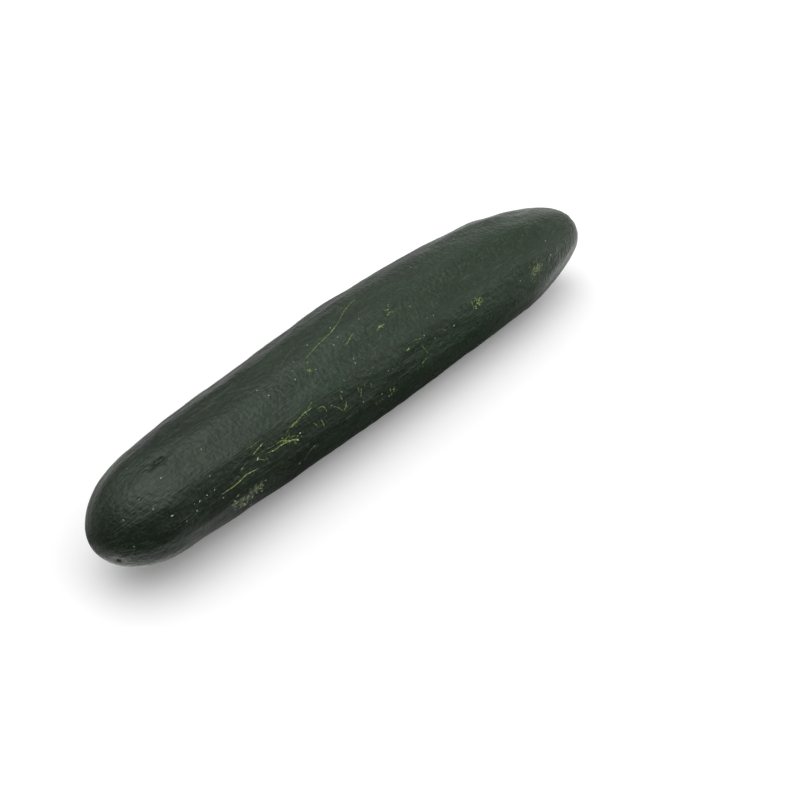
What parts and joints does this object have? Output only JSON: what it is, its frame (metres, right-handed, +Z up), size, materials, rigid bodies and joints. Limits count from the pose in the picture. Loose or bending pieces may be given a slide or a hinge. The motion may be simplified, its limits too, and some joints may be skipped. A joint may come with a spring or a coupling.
{
  "type": "cucumber",
  "caption": "Whole dark green cucumber with waxy skin, slightly bowed, lying on a small flat spot on its belly.",
  "frame": {"origin": "on the surface that the cucumber lies on, in the middle of its bounding box's footprint", "axes": "+X along the fruit towards the stem end, +Z up, and -Y the side the picture shows, from which the bow bends away"},
  "size_m": [0.2444, 0.0456, 0.0447],
  "materials": {
    "skin": "semi-gloss waxy skin",
    "cork_scar": "dry healed cork",
    "spine_scar": "dry pale specks",
    "stem_scar": "dry fibrous"
  },
  "bodies": {
    "root": {"cucumber": "skin"}
  },
  "joints": []
}
